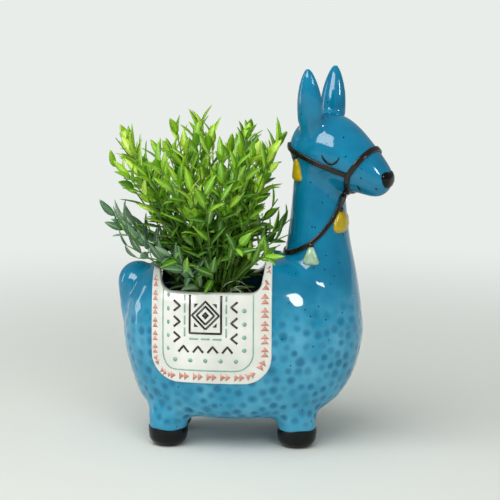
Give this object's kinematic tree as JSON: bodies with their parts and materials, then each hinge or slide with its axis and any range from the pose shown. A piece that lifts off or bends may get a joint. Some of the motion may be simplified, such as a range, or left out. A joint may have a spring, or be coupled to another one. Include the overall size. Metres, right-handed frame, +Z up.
{
  "type": "animal shaped planter",
  "caption": "Glazed ceramic llama planter with an open back holding a lift-out artificial leafy bush, raised saddle blanket, halter and tassels, and a drain plug.",
  "frame": {"origin": "on the table, under the middle of the planter's box", "axes": "+X towards the nose, +Z up, -Y the animal's right flank"},
  "size_m": [0.1756, 0.1202, 0.2174],
  "materials": {
    "blue_glaze": "gloss mottled glaze",
    "white_glaze": "gloss white glaze with painted pattern",
    "black_glaze": "gloss black glaze",
    "strap_glaze": "gloss dark brown glaze",
    "yellow_glaze": "gloss yellow glaze",
    "green_glaze": "gloss pale green glaze",
    "plug_rubber": "matt moulded",
    "floral_foam": "matt cut foam",
    "stem_plastic": "matt moulded",
    "leaf_plastic": "satin moulded"
  },
  "bodies": {
    "planter": {"ear_left": "blue_glaze", "ear_right": "blue_glaze", "eyelid_left": "black_glaze", "eyelid_right": "black_glaze", "halter_crown_strap": "strap_glaze", "halter_noseband": "strap_glaze", "head": "blue_glaze", "hoof_front_left": "black_glaze", "hoof_front_right": "black_glaze", "hoof_rear_left": "black_glaze", "hoof_rear_right": "black_glaze", "leg_front_left": "blue_glaze", "leg_front_right": "blue_glaze", "leg_rear_left": "blue_glaze", "leg_rear_right": "blue_glaze", "neck": "blue_glaze", "nose_pad": "black_glaze", "pot_body": "blue_glaze", "reins": "strap_glaze", "saddle_blanket": "white_glaze", "tail": "blue_glaze", "tassel_crown_left": "yellow_glaze", "tassel_crown_right": "yellow_glaze", "tassel_green_left": "green_glaze", "tassel_green_right": "green_glaze", "tassel_yellow_left": "yellow_glaze", "tassel_yellow_right": "yellow_glaze"},
    "plant": {"foam_block": "floral_foam", "trunk": "stem_plastic", "sprays_upright": "leaf_plastic", "sprays_middle": "leaf_plastic", "sprays_low": "leaf_plastic"},
    "plug": {"drain_plug": "plug_rubber"}
  },
  "joints": [
    {"name": "plant_lift", "type": "slide", "parent": "planter", "child": "plant", "axis": [0, 0, 1], "range_m": [0, 0.1]},
    {"name": "drain_plug_pull", "type": "slide", "parent": "planter", "child": "plug", "axis": [0, 0, -1], "range_m": [0, 0.009]}
  ]
}
